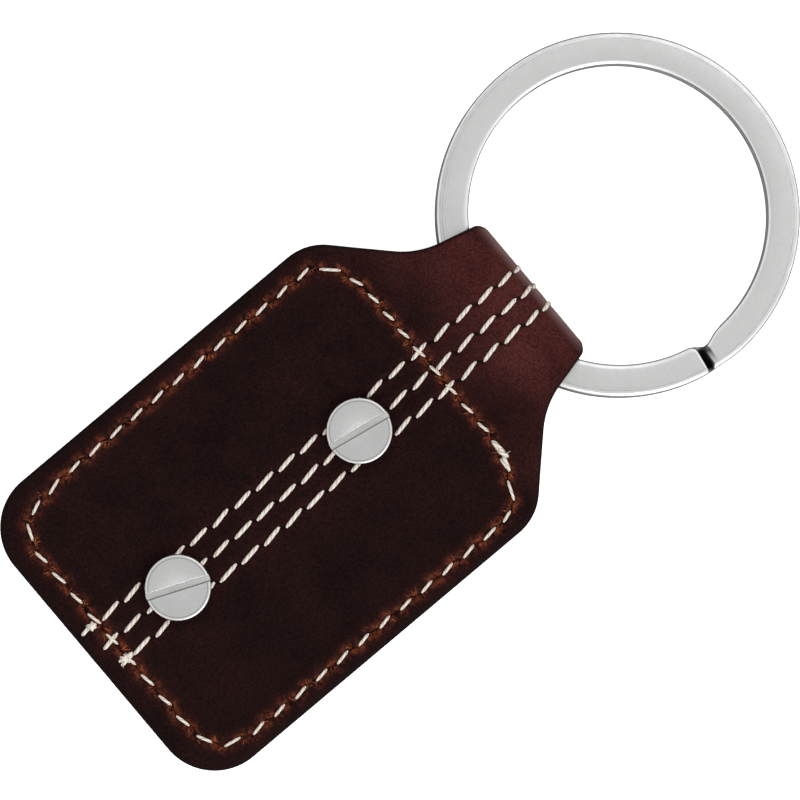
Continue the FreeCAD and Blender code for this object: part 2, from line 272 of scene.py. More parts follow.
def seam_fibres():
    """Short leather fibres pulled up round the front seam's holes, in (x, s)."""
    rng = random.Random(31)
    made = []
    for start, end in links(FRONT_SEAM, True):
        for _ in range(rng.randint(3, 7)):
            root = start + (end - start) * rng.uniform(0, 1)
            turn = rng.uniform(0, 2 * math.pi)
            root = root + np.array([math.cos(turn), math.sin(turn)]) * rng.uniform(0.05, 0.35)
            turn += rng.uniform(-1.2, 1.2)
            reach = rng.uniform(0.2, 0.75)
            made.append((root, root + np.array([math.cos(turn), math.sin(turn)]) * reach))
    return made


def thread_ends():
    """Back-tacked and knotted thread at the ends of the rows and of the top seam, in (x, s)."""
    left = -ROW_SPACING
    right = ROW_SPACING
    knot = [((left - 0.35, 1.7), (left + 0.3, 2.2)), ((left - 0.3, 2.25), (left + 0.3, 1.75)),
            ((left - 0.05, 1.6), (left + 0.05, 2.4)), ((left - 0.1, 1.7), (left + 0.05, 0.75))]
    tack = [((right - 0.22, 1.8), (right - 0.1, 3.3)), ((right + 0.2, 1.75), (right + 0.05, 3.2)),
            ((right - 0.45, 2.2), (right + 0.4, 2.6))]
    top = [((8.9, 42.65), (10.4, 42.75)), ((10.5, 42.5), (12.0, 42.0)), ((9.9, 42.4), (10.9, 42.8))]
    return [tuple(np.array(end) for end in pair) for pair in knot + tack + top]


def thread_frays():
    """Fine strands that stand away from the thread's ends, in (x, s)."""
    rng = random.Random(47)
    made = []
    for x, s, count in ((-ROW_SPACING, 1.95, 3), (ROW_SPACING, 2.4, 5), (10.4, 42.6, 6)):
        for _ in range(count):
            turn = rng.uniform(0, 2 * math.pi)
            root = np.array([x + rng.uniform(-0.3, 0.3), s + rng.uniform(-0.4, 0.4)])
            reach = rng.uniform(0.25, 0.6)
            made.append((root, root + np.array([math.cos(turn), math.sin(turn)]) * reach))
    return made


def edge_stitches(back):
    """Stitches of the edge seam in (x, s).  On the back the seam is mirrored along s."""
    holes = seam_holes()
    rng = random.Random(11 if back else 5)
    made = []
    for i, hole in enumerate(holes):
        start = hole
        end = holes[(i + 1) % len(holes)]
        if back:
            start, end = [(x, strap.length - y) for x, y in (start, end)]
        made.append(slanted(start, end, SEAM_STITCH_SHARE, rng))
    return made


def row_stitches(row):
    """Stitches of one middle row in (x, s), without those that lie right under a screw."""
    x = (row - 1) * ROW_SPACING
    start = ROW_STARTS[row]
    pitch = ROW_PITCHES[row]
    front = strap.s < strap.length / 2
    ys = np.arange(start, FOLD_Y - 2.0, pitch)
    holes = list(np.interp(ys, strap.points[front, 0], strap.s[front]))
    while holes[-1] + pitch < strap.length - start:
        holes.append(holes[-1] + pitch)
    rng = random.Random(20 + row)
    made = []
    for low, high in zip(holes, holes[1:]):
        stitch = slanted((x, low), (x, high), ROW_STITCH / pitch, rng)
        if not under_a_head(stitch):
            made.append(stitch)
    return made


def head_places():
    """(x, s) of the four screw heads: two on the front, two on the back."""
    front = list(SCREWS.values())
    return front + [(x, strap.length - y) for x, y in front]


def under_a_head(stitch):
    reach = HEAD_RADIUS - 0.25
    return any(all(math.dist(end, head) < reach for end in stitch) for head in head_places())


FRONT_SEAM = edge_stitches(back=False)
BACK_SEAM = edge_stitches(back=True)
ROWS = [row_stitches(row) for row in range(3)]


def links(stitches, closed):
    """The short slits in the leather from the end of one stitch to the start of the next."""
    pairs = list(zip(stitches, stitches[1:] + stitches[:1]))
    if not closed:
        pairs = pairs[:-1]
    made = [(here[1], after[0]) for here, after in pairs]
    return [pair for pair in made if math.dist(*pair) < 3.0]


def segment_distance(points, segments):
    """Distance from each point to the nearest segment."""
    nearest = np.full(len(points), 1e9, np.float32)
    points = points.astype(np.float32)
    for start, end in segments:
        start = np.asarray(start, np.float32)
        along = np.asarray(end, np.float32) - start
        low = np.minimum(start, start + along) - 3
        high = np.maximum(start, start + along) + 3
        near = np.flatnonzero(((points > low) & (points < high)).all(1))
        if not len(near):
            continue
        offset = points[near] - start
        share = np.clip(offset @ along / max(along @ along, 1e-9), 0, 1)
        gap = np.linalg.norm(offset - share[:, None] * along, axis=1)
        nearest[near] = np.minimum(nearest[near], gap)
    return nearest


# ---- the leather -------------------------------------------------------------------------------
def hex_grid(spacing):
    across = np.arange(-BODY_HALF_WIDTH, BODY_HALF_WIDTH, spacing)
    along = np.arange(0, strap.length, spacing * math.sqrt(0.75))
    x, s = np.meshgrid(across, along)
    x = x + (np.arange(len(along)) % 2)[:, None] * spacing / 2
    column = np.tile(np.arange(len(across)), (len(along), 1))
    row = np.tile(np.arange(len(along))[:, None], (1, len(across)))
    coarse = (row % 2 == 0) & ((column + row // 2) % 2 == 0)
    return np.stack([x.ravel(), s.ravel()], 1), coarse.ravel()


def inside_edge(points, outline, margin):
    """Points at least margin inside the outline and outside the screw holes."""
    y = strap.at(points[:, 1])[0]
    rough = (np.abs(points[:, 0]) < half_width(y) - margin * 0.5)
    rough &= (points[:, 1] > margin) & (points[:, 1] < strap.length - margin)
    for head in head_places():
        rough &= np.linalg.norm(points - head, axis=1) > HOLE_RADIUS + 0.12
    keep = np.flatnonzero(rough)
    edge_gap = np.abs(half_width(y[keep])) - np.abs(points[keep, 0])
    close = keep[(edge_gap < 3) | (points[keep, 1] < 7) | (points[keep, 1] > strap.length - 7)]
    gap = np.full(len(points), 9.0)
    for chunk in np.array_split(close, max(1, len(close) // 2000)):
        apart = points[chunk][:, None, :] - outline[None, :, :]
        gap[chunk] = np.sqrt((apart ** 2).sum(2).min(1))
    return keep[gap[keep] > margin], gap


def hole_loop(head):
    turn = np.linspace(0, -2 * math.pi, 40, endpoint=False)
    return np.array(head) + HOLE_RADIUS * np.stack([np.cos(turn), np.sin(turn)], 1)


def triangles(loops, free):
    """Triangles that fill the first loop, apart from the other loops."""
    points = np.concatenate(loops + [free])
    edges = []
    first = 0
    for loop in loops:
        count = len(loop)
        edges += [(first + i, first + (i + 1) % count) for i in range(count)]
        first += count
    outer = [list(range(len(loops[0])))]
    result = delaunay_2d_cdt([tuple(p) for p in points], edges, outer, 1, 1e-6)
    _, _, faces, origins = result[:4]
    index = [origin[0] for origin in origins]
    faces = np.array([[index[v] for v in face] for face in faces])
    centre = points[faces].mean(1)
    keep = np.ones(len(faces), bool)
    for head in head_places():
        keep &= np.linalg.norm(centre - head, axis=1) > HOLE_RADIUS * 0.995
    return points, faces[keep]


def edge_loops(outline):
    """The strap's edge as loops from the outer face, round the side, to the inner face."""
    nxt = np.roll(outline, -1, axis=0) - np.roll(outline, 1, axis=0)
    inward = np.stack([-nxt[:, 1], nxt[:, 0]], 1)
    inward /= np.linalg.norm(inward, axis=1)[:, None]
    steps = [(OUTER_ROUND * (1 - math.sin(a)), -OUTER_ROUND * (1 - math.cos(a)))
             for a in np.linspace(0, math.pi / 2, 6)]
    steps += [(0.0, -LEATHER / 2)]
    steps += [(INNER_ROUND * (1 - math.cos(a)), -LEATHER + INNER_ROUND * (1 - math.sin(a)))
              for a in np.linspace(0, math.pi / 2, 4)]
    y, _, ny, _ = strap.at(outline[:, 1])
    loops = []
    for inset, height in steps:
        loop = outline + inward * inset
        loop[:, 0] += np.sign(loop[:, 0]) * (half_width(y + ny * height) - half_width(y))
        loops.append((loop, height))
    return loops


def wander(points, scale, seed):
    """Smooth unevenness from a few waves, about -1 to 1."""
    rng = np.random.default_rng(seed)
    total = np.zeros(len(points))
    for _ in range(7):
        direction = rng.uniform(0, math.pi)
        wave = rng.uniform(0.6, 1.6) / scale
        phase = rng.uniform(0, 2 * math.pi)
        total += np.sin((points @ [math.cos(direction), math.sin(direction)]) * wave + phase)
    return total / 3.2


def seam_slits():
    return links(FRONT_SEAM, True) + links(BACK_SEAM, True)


def row_slits():
    return [slit_shade for row in ROWS for slit_shade in links(row, False)]


UNEVEN = 0.05                # waviness of the leather's face, up and down
SEAM_SINK = 0.10             # how far the stitches pull it in, and the slits between them
ROW_SINK = 0.06
SEAM_SLIT_SINK = 0.24
ROW_SLIT_SINK = 0.22
SLIT_WIDTH = 0.2
SEAM_SWELL = 0.07            # it swells 1 mm to each side of the edge seam
HEAD_SINK = 0.10             # round a screw's head


def leather_relief(points, fields):
    """How far the outer face stands out or in at each point."""
    seam = np.minimum(fields["seam_gap"], 9)
    relief = UNEVEN * wander(points, 4.0, 3)
    relief -= SEAM_SINK * np.exp(-(seam / 0.55) ** 2)
    relief -= ROW_SINK * np.exp(-(fields["row_gap"] / 0.5) ** 2)
    relief -= SEAM_SLIT_SINK * np.exp(-(fields["seam_slit"] / SLIT_WIDTH) ** 2)
    relief -= ROW_SLIT_SINK * np.exp(-(fields["row_slit"] / SLIT_WIDTH) ** 2)
    relief += SEAM_SWELL * np.exp(-((seam - 1.0) / 0.6) ** 2)
    for head in head_places():
        gap = np.linalg.norm(points - head, axis=1)
        relief = np.where(gap < HEAD_RADIUS, np.minimum(relief, -0.02), relief)
        relief -= HEAD_SINK * np.exp(-((gap - HEAD_RADIUS) / 0.5) ** 2)
    return relief


def leather_fields(points):
    return {
        "seam_gap": segment_distance(points, FRONT_SEAM + BACK_SEAM),
        "row_gap": segment_distance(points, [stitch for row in ROWS for stitch in row]),
        "seam_slit": segment_distance(points, seam_slits()),
        "row_slit": segment_distance(points, row_slits())}


def leather_piece(material):
    outline = strap_outline()
    loops = edge_loops(outline)
    holes = [hole_loop(head) for head in head_places()]
    grid, coarse = hex_grid(FINE)
    keep, _ = inside_edge(grid, outline, OUTER_ROUND + 0.14)
    stitch_lines = seam_slits() + row_slits() + FRONT_SEAM + [s for row in ROWS for s in row]
    fine = segment_distance(grid[keep], stitch_lines) < 0.42
    free = grid[keep][fine | coarse[keep]]
    outer_points, outer_faces = triangles([loops[0][0]] + holes, free)
    inner_grid, _ = hex_grid(INNER_SPACING)
    inner_keep, _ = inside_edge(inner_grid, outline, INNER_ROUND + 0.4)
    inner_points, inner_faces = triangles([loops[-1][0]] + holes, inner_grid[inner_keep])

    places = [outer_points]
    heights = [np.zeros(len(outer_points))]
    faces = [outer_faces]
    total = len(outer_points)
    inner_first = total + sum(len(loop) for loop, _ in loops[1:-1])
    quads = []
    ring = np.arange(len(outline))
    above = ring
    for k, (loop, height) in enumerate(loops[1:], 1):
        last = k == len(loops) - 1
        below = inner_first + ring if last else total + ring
        if not last:
            places.append(loop)
            heights.append(np.full(len(loop), height))
            total += len(loop)
        quads.append(np.stack([above, below, np.roll(below, -1), np.roll(above, -1)], 1))
        above = below
    hole_first = len(outline)
    for hole in holes:
        top = hole_first + np.arange(len(hole))
        low = inner_first + top
        quads.append(np.stack([top, low, np.roll(low, -1), np.roll(top, -1)], 1))
        hole_first += len(hole)
    places.append(inner_points)
    heights.append(np.full(len(inner_points), -LEATHER))
    faces.append(inner_faces[:, ::-1] + inner_first)

    flat = np.concatenate(places)
    height = np.concatenate(heights)
    fields = leather_fields(flat)
    depth_share = np.clip(1 + height / LEATHER, 0, 1)
    relief = leather_relief(flat, fields) * depth_share
    nearest_edge = inside_edge(flat, outline, 0.0)[1]
    relief *= np.clip(nearest_edge / 1.0, 0.15, 1)
    relief = np.minimum(relief, np.where(np.abs(flat[:, 1] - strap.length / 2) < 12, 0.0, 0.09))
    points = strap.place(flat[:, 0], flat[:, 1], height + relief)
    polygons = [tuple(int(v) for v in face) for block in faces for face in block]
    polygons += [tuple(int(v) for v in quad) for block in quads for quad in block]
    piece = mesh_object("folded_leather", points, polygons, material)

    on_outside = height > -OUTER_ROUND * 0.99
    y = strap.at(flat[:, 1])[0]
    edge = np.where(on_outside, np.exp(-(nearest_edge / 0.26) ** 2), 1.0)
    edge = np.where(height <= -LEATHER + 1e-6, np.exp(-(nearest_edge / 0.25) ** 2), edge)
    store(piece, "edge_paint", edge)
    store(piece, "flesh_side", (height <= -LEATHER + 1e-6).astype(float))
    # the neck mask: where the leather is painted lighter and redder, as painted light on its rising slope
    store(piece, "neck", np.clip((y - 41.5) / 7.0, 0, 1))
    store(piece, "seam_wear", np.exp(-(fields["seam_gap"] / 0.75) ** 2) * (height > -0.5))
    store(piece, "seam_slit", np.exp(-(fields["seam_slit"] / 0.17) ** 2))
    store(piece, "slit_halo", np.exp(-(fields["seam_slit"] / 0.52) ** 2))
    # along the fold: pull-up lightening, and a painted highlight
    store(piece, "fold_pull_and_highlight", np.clip((y - FOLD_Y + 1.1) / 1.0, 0, 1) ** 2)
    store(piece, "row_slit", np.exp(-(fields["row_slit"] / 0.17) ** 2))
    store(piece, "row_wear", np.exp(-(fields["row_gap"] / 0.6) ** 2) * (height > -0.5))
    return piece


# ---- small mesh helpers ------------------------------------------------------------------------
def mesh_object(name, points, polygons, material):
    mesh = bpy.data.meshes.new(name)
    mesh.from_pydata([tuple(p) for p in points], [], polygons)
    mesh.update()
    mesh.validate()
    mesh.shade_smooth()
    mesh.materials.append(material)
    piece = bpy.data.objects.new(name, mesh)
    bpy.context.scene.collection.objects.link(piece)
    return piece


def store(piece, name, values):
    attribute = piece.data.attributes.new(name, "FLOAT", "POINT")
    attribute.data.foreach_set("value", np.asarray(values, np.float32))


def finish_with_modifiers(piece):
    """The piece with its modifiers worked into its mesh."""
    depsgraph = bpy.context.evaluated_depsgraph_get()
    evaluated = piece.evaluated_get(depsgraph)
    mesh = bpy.data.meshes.new_from_object(evaluated, preserve_all_data_layers=True,
                                           depsgraph=depsgraph)
    piece.modifiers.clear()
    piece.data = mesh
    mesh.name = piece.name
    return piece


# ---- node helpers ------------------------------------------------------------------------------
def add(tree, kind, inputs=None, **settings):
    made = tree.nodes.new(kind)
    for name, value in settings.items():
        setattr(made, name, value)
    for name, value in (inputs or {}).items():
        socket = made.inputs[name]
        if isinstance(value, bpy.types.NodeSocket):
            tree.links.new(value, socket)
        else:
            socket.default_value = value
    return made


def calc(tree, operation, *values):
    inputs = dict(enumerate(values))
    return add(tree, "ShaderNodeMath", inputs, operation=operation).outputs[0]


def mixed(tree, share, first, second):
    inputs = {0: share, 6: first, 7: second}
    return add(tree, "ShaderNodeMix", inputs, data_type="RGBA").outputs[2]


def ramp(tree, value, low, high):
    inputs = {"Value": value, "From Min": low, "From Max": high}
    return add(tree, "ShaderNodeMapRange", inputs).outputs[0]


def attribute(tree, name):
    return add(tree, "ShaderNodeAttribute", attribute_name=name).outputs["Fac"]


def noise(tree, position, scale, detail=3.0, roughness=0.5):
    inputs = {"Vector": position, "Scale": scale, "Detail": detail, "Roughness": roughness}
    return add(tree, "ShaderNodeTexNoise", inputs).outputs[0]


def bump(tree, height, distance, strength=1.0, normal=None):
    inputs = {"Height": height, "Distance": distance, "Strength": strength}
    if normal:
        inputs["Normal"] = normal
    return add(tree, "ShaderNodeBump", inputs).outputs[0]


def paint(red, green, blue):
    """Colour from 0-255 display values."""
    def linear(value):
        value /= 255
        return value / 12.92 if value <= 0.04045 else ((value + 0.055) / 1.055) ** 2.4
    return linear(red), linear(green), linear(blue), 1.0


def new_material(name):
    material = bpy.data.materials.new(name)
    material.use_nodes = True
    tree = material.node_tree
    shader = tree.nodes["Principled BSDF"]
    position = add(tree, "ShaderNodeTexCoord").outputs["Object"]
    return material, tree, shader, position


# ---- materials ---------------------------------------------------------------------------------
def dark_leather():
    material, tree, shader, position = new_material("dark_pull_up_leather")
    mottle = noise(tree, position, 170, 5, 0.6)
    cloud = noise(tree, position, 60, 2)
    speck = noise(tree, position, 1500, 4, 0.65)
    colour = mixed(tree, ramp(tree, mottle, 0.35, 0.7), paint(17, 6, 6), paint(28, 11, 11))
    # painted light: the neck is drawn lighter and redder where it rises toward the fold
    neck_lit_tone = mixed(tree, ramp(tree, mottle, 0.3, 0.7), paint(47, 19, 18), paint(68, 32, 29))
    neck_light_share = calc(tree, "MULTIPLY", attribute(tree, "neck"), ramp(tree, cloud, 0.15, 0.6))
    colour = mixed(tree, neck_light_share, colour, neck_lit_tone)
    fray = ramp(tree, noise(tree, position, 1100, 5, 0.75), 0.44, 0.60)
    wear = calc(tree, "MULTIPLY", attribute(tree, "seam_wear"), ramp(tree, mottle, 0.25, 0.6))
    colour = mixed(tree, calc(tree, "MULTIPLY", wear, 0.4), colour, paint(60, 25, 20))
    halo = calc(tree, "MULTIPLY", attribute(tree, "slit_halo"), fray)
    colour = mixed(tree, calc(tree, "MULTIPLY", halo, 0.78), colour, paint(126, 62, 38))
    row_share = calc(tree, "MULTIPLY", attribute(tree, "row_wear"), 0.3)
    colour = mixed(tree, row_share, colour, paint(52, 20, 18))
    # near-black in the slits between stitches: painted shade in the cuts
    slit_shade = calc(tree, "MAXIMUM", attribute(tree, "seam_slit"), attribute(tree, "row_slit"))
    colour = mixed(tree, calc(tree, "MULTIPLY", slit_shade, 0.92), colour, paint(12, 4, 4))
    speckle = ramp(tree, noise(tree, position, 5200, 3, 0.65), 0.38, 0.64)
    tone = calc(tree, "MULTIPLY_ADD", speckle, 0.95, 0.55)
    colour = add(tree, "ShaderNodeVectorMath", {0: colour, "Scale": tone}, operation="SCALE").outputs[0]
    # lighter along the fold: pull-up leather lightens where bent, and the band is also a painted highlight
    pulled = calc(tree, "MULTIPLY", attribute(tree, "fold_pull_and_highlight"), ramp(tree, mottle, 0.1, 0.6))
    colour = mixed(tree, calc(tree, "MULTIPLY", pulled, 0.75), colour, paint(142, 118, 114))
    flesh = mixed(tree, speck, paint(58, 36, 28), paint(96, 66, 50))
    colour = mixed(tree, attribute(tree, "flesh_side"), colour, flesh)
    colour = mixed(tree, attribute(tree, "edge_paint"), colour, paint(17, 11, 11))
    tree.links.new(colour, shader.inputs["Base Color"])
    rough = calc(tree, "MULTIPLY_ADD", mottle, 0.25, 0.42)
    tree.links.new(rough, shader.inputs["Roughness"])
    shader.inputs["Specular IOR Level"].default_value = 0.03
    shader.inputs["Sheen Weight"].default_value = 0.02
    shader.inputs["Sheen Roughness"].default_value = 0.35
    shader.inputs["Sheen Tint"].default_value = (0.9, 0.75, 0.72, 1.0)
    pores = add(tree, "ShaderNodeTexVoronoi", {"Vector": position, "Scale": 1900.0},
                feature="DISTANCE_TO_EDGE").outputs["Distance"]
    grain = bump(tree, ramp(tree, pores, 0.0, 0.25), 0.00005, 0.5)
    fine = bump(tree, speck, 0.00012, 0.5, grain)
    creases = bump(tree, noise(tree, position, 420, 4, 0.6), 0.00025, 0.4, fine)
    tree.links.new(creases, shader.inputs["Normal"])
    return material


def board_material():
    material, tree, shader, position = new_material("painted_leather_board")
    fibres = noise(tree, position, 1600, 5, 0.7)
    tree.links.new(mixed(tree, fibres, paint(14, 9, 9), paint(34, 22, 19)), shader.inputs["Base Color"])
    shader.inputs["Roughness"].default_value = 0.55
    shader.inputs["Specular IOR Level"].default_value = 0.2
    tree.links.new(bump(tree, fibres, 0.00012, 0.6), shader.inputs["Normal"])
    return material


TWIST = 9000.0               # turns of the thread's plies, in radians to the metre


def cream_thread(name, from_attributes):
    material, tree, shader, position = new_material(name)
    if from_attributes:
        angle = calc(tree, "ARCTAN2", attribute(tree, "round_sin"), attribute(tree, "round_cos"))
        twist = calc(tree, "MULTIPLY_ADD", attribute(tree, "along"), TWIST,
                     calc(tree, "MULTIPLY", angle, 2.0))
    else:
        twist = add(tree, "ShaderNodeVectorMath", {0: position, 1: (TWIST, TWIST, TWIST)},
                    operation="DOT_PRODUCT").outputs["Value"]
    ply = calc(tree, "ABSOLUTE", calc(tree, "SINE", calc(tree, "MULTIPLY", twist, 0.5)))
    fibre = noise(tree, position, 6000, 3, 0.6)
    patch = noise(tree, position, 260, 2)
    # darker where the plies meet: painted shade in the grooves between them
    colour = mixed(tree, ramp(tree, ply, 0.0, 0.55), paint(158, 146, 134), paint(208, 202, 192))
    colour = mixed(tree, calc(tree, "MULTIPLY", ramp(tree, fibre, 0.45, 0.75), 0.35), colour,
                   paint(187, 168, 150))
    colour = mixed(tree, calc(tree, "MULTIPLY", ramp(tree, patch, 0.5, 0.75), 0.3), colour,
                   paint(196, 178, 160))
    tree.links.new(colour, shader.inputs["Base Color"])
    shader.inputs["Roughness"].default_value = 0.75
    shader.inputs["Specular IOR Level"].default_value = 0.2
    shape = bump(tree, ply, 0.00008, 0.9)
    tree.links.new(bump(tree, fibre, 0.00004, 0.5, shape), shader.inputs["Normal"])
    return material


def leather_fibre():
    material, tree, shader, position = new_material("pulled_leather_fibre")
    tone = noise(tree, position, 900, 3)
    colour = mixed(tree, ramp(tree, tone, 0.35, 0.65), paint(92, 42, 28), paint(168, 96, 56))
    tree.links.new(colour, shader.inputs["Base Color"])
    shader.inputs["Roughness"].default_value = 0.8
    shader.inputs["Specular IOR Level"].default_value = 0.1
    return material


GROOVE_SHADE_LINES = math.pi / 0.00026     # one painted shade line every 0.26 mm across the band


def nickel(name, tone, along_ring):
    material, tree, shader, position = new_material(name)
    if along_ring:
        around = calc(tree, "MULTIPLY", attribute(tree, "along"), 900.0)
        across = calc(tree, "MULTIPLY", attribute(tree, "across"), 5200.0)
        lines = add(tree, "ShaderNodeCombineXYZ", {0: around, 1: across}).outputs[0]
        brushing = noise(tree, lines, 1.0, 4, 0.6)
    else:
        brushing = noise(tree, position, 5000, 3, 0.6)
    patch = noise(tree, position, 500, 4, 0.6)
    dark = tuple(c * 0.82 for c in tone[:3]) + (1.0,)
    colour = mixed(tree, ramp(tree, patch, 0.3, 0.75), tone, dark)
    grain = ramp(tree, noise(tree, position, 5200, 4, 0.7), 0.35, 0.65)
    colour = mixed(tree, calc(tree, "MULTIPLY", grain, 0.6), colour, dark)
    if not along_ring:
        # painted shade in the slot: strong on its +X wall, weak on the other, below the head's face
        across = attribute(tree, "slot_across")
        shade = calc(tree, "MAXIMUM", calc(tree, "MULTIPLY", ramp(tree, across, 0.5, 0.95), 0.85),
                     calc(tree, "MULTIPLY", ramp(tree, across, -0.75, -1.0), 0.3))
        inside = calc(tree, "MULTIPLY", shade, ramp(tree, attribute(tree, "slot_depth"), 0.1, 0.4))
        colour = mixed(tree, inside, colour, paint(52, 50, 49))
        # a thin painted shade line just inside the head's rim
        line = calc(tree, "MULTIPLY", attribute(tree, "rim_shade_line"), 0.75)
        colour = mixed(tree, line, colour, paint(70, 66, 64))
    if along_ring:
        # thin dark lines near the band's outer edge: painted shade of fine grooves that the mesh does not
        # have
        wave = calc(tree, "SINE", calc(tree, "MULTIPLY", attribute(tree, "across"), GROOVE_SHADE_LINES))
        line = calc(tree, "POWER", calc(tree, "ABSOLUTE", wave), 10.0)
        outermost = ramp(tree, attribute(tree, "across"), 0.00055, 0.0009)
        line = calc(tree, "MULTIPLY", line, outermost)
        line = calc(tree, "MULTIPLY", line, ramp(tree, brushing, 0.35, 0.6))
        colour = mixed(tree, calc(tree, "MULTIPLY", line, 0.45), colour, paint(96, 95, 94))
        # near-black painted shade on the dipped part of the wire
        colour = mixed(tree, calc(tree, "MULTIPLY", attribute(tree, "dip_shade"), 0.93), colour,
                       paint(20, 19, 19))
    tree.links.new(colour, shader.inputs["Base Color"])
    shader.inputs["Metallic"].default_value = 1.0
    tree.links.new(calc(tree, "MULTIPLY_ADD", patch, 0.2, 0.22), shader.inputs["Roughness"])
    tree.links.new(bump(tree, brushing, 0.000012, 0.6), shader.inputs["Normal"])
    return material


def floor_material():
    material, tree, shader, _ = new_material("pale_floor")
    shader.inputs["Base Color"].default_value = (0.9, 0.9, 0.9, 1)
    shader.inputs["Roughness"].default_value = 1.0
    shader.inputs["Specular IOR Level"].default_value = 0.0
    shader.inputs["Emission Color"].default_value = (1, 1, 1, 1)
    shader.inputs["Emission Strength"].default_value = 0.7
    dim = add(tree, "ShaderNodeBsdfDiffuse", {"Color": (0.22, 0.22, 0.22, 1)}).outputs[0]
    seen = add(tree, "ShaderNodeLightPath").outputs["Is Camera Ray"]
    both = add(tree, "ShaderNodeMixShader", {0: seen, 1: dim, 2: shader.outputs[0]}).outputs[0]
    tree.links.new(both, tree.nodes["Material Output"].inputs["Surface"])
    return material


# ---- stitches ----------------------------------------------------------------------------------
STITCH_POINTS = 7


def stitch_tree():
    """Thread along each edge chain: arched out of the leather, thinner at its ends."""
    tree = bpy.data.node_groups.new("stitches", "GeometryNodeTree")
    tree.interface.new_socket("Geometry", in_out="INPUT", socket_type="NodeSocketGeometry")
    for name, kind in (("Thread Radius", "NodeSocketFloat"), ("Crown Height", "NodeSocketFloat"),
                       ("End Dive", "NodeSocketFloat"), ("Points Along", "NodeSocketInt"),
                       ("Sides", "NodeSocketInt"), ("Thread Material", "NodeSocketMaterial")):
        tree.interface.new_socket(name, in_out="INPUT", socket_type=kind)
    tree.interface.new_socket("Geometry", in_out="OUTPUT", socket_type="NodeSocketGeometry")
    given = add(tree, "NodeGroupInput").outputs
    curve = add(tree, "GeometryNodeMeshToCurve", {"Mesh": given["Geometry"]}).outputs[0]
    curve = add(tree, "GeometryNodeResampleCurve",
                {"Curve": curve, "Count": given["Points Along"]}).outputs[0]
    along = add(tree, "GeometryNodeSplineParameter").outputs
    from_middle = calc(tree, "ABSOLUTE", calc(tree, "MULTIPLY_ADD", along["Factor"], 2.0, -1.0))
    dive = calc(tree, "MULTIPLY", calc(tree, "POWER", from_middle, 4.0), given["End Dive"])
    height = calc(tree, "SUBTRACT", given["Crown Height"], dive)
    out = add(tree, "GeometryNodeInputNamedAttribute", {"Name": "out"},
              data_type="FLOAT_VECTOR").outputs["Attribute"]
    offset = add(tree, "ShaderNodeVectorMath", {0: out, "Scale": height}, operation="SCALE").outputs[0]
    curve = add(tree, "GeometryNodeSetPosition", {"Geometry": curve, "Offset": offset}).outputs[0]
    curve = add(tree, "GeometryNodeStoreNamedAttribute",
                {"Geometry": curve, "Name": "along", "Value": along["Length"]},
                data_type="FLOAT", domain="POINT").outputs[0]
    profile = add(tree, "GeometryNodeCurvePrimitiveCircle",
                  {"Resolution": given["Sides"], "Radius": given["Thread Radius"]}).outputs[0]
    turn = calc(tree, "MULTIPLY", add(tree, "GeometryNodeSplineParameter").outputs["Factor"], 2 * math.pi)
    for name, operation in (("round_cos", "COSINE"), ("round_sin", "SINE")):
        profile = add(tree, "GeometryNodeStoreNamedAttribute",
                      {"Geometry": profile, "Name": name, "Value": calc(tree, operation, turn)},
                      data_type="FLOAT", domain="POINT").outputs[0]
    taper = calc(tree, "MULTIPLY_ADD", calc(tree, "POWER", from_middle, 5.0), -0.3, 1.0)
    tube = add(tree, "GeometryNodeCurveToMesh",
               {"Curve": curve, "Profile Curve": profile, "Scale": taper, "Fill Caps": True}).outputs[0]
    tube = add(tree, "GeometryNodeSetShadeSmooth", {"Geometry": tube}).outputs[0]
    tube = add(tree, "GeometryNodeRealizeInstances", {"Geometry": tube}).outputs[0]
    tube = add(tree, "GeometryNodeSetMaterial",
               {"Geometry": tube, "Material": given["Thread Material"]}).outputs[0]
    add(tree, "NodeGroupOutput", {"Geometry": tube})
    return tree


def stitch_piece(name, stitches, thread, tree, material, crown, dive=0.3, points_along=7, sides=8):
    """One piece of thread work from its stitches' ends in (x, s), its middle line at a crown height."""
    share = np.linspace(0, 1, STITCH_POINTS)[:, None]
    flat = np.concatenate([start + (end - start) * share for start, end in stitches])
    points = strap.place(flat[:, 0], flat[:, 1], 0.0)
    edges = [(i * STITCH_POINTS + j, i * STITCH_POINTS + j + 1)
             for i in range(len(stitches)) for j in range(STITCH_POINTS - 1)]
    mesh = bpy.data.meshes.new(name)
    mesh.from_pydata([tuple(p) for p in points], edges, [])
    out = mesh.attributes.new("out", "FLOAT_VECTOR", "POINT")
    out.data.foreach_set("vector", strap.out(flat[:, 1]).ravel())
    piece = bpy.data.objects.new(name, mesh)
    bpy.context.scene.collection.objects.link(piece)
    modifier = piece.modifiers.new("stitches", "NODES")
    modifier.node_group = tree
    sizes = {"Thread Radius": thread / 2 * MM, "Crown Height": crown * MM, "End Dive": dive * MM,
             "Points Along": points_along, "Sides": sides, "Thread Material": material}
    for socket in tree.interface.items_tree:
        if socket.item_type == "SOCKET" and socket.in_out == "INPUT" and socket.name in sizes:
            modifier[socket.identifier] = sizes[socket.name]
    bpy.context.view_layer.update()
    finish_with_modifiers(piece)
    if not piece.data.materials:
        piece.data.materials.append(material)
    return piece


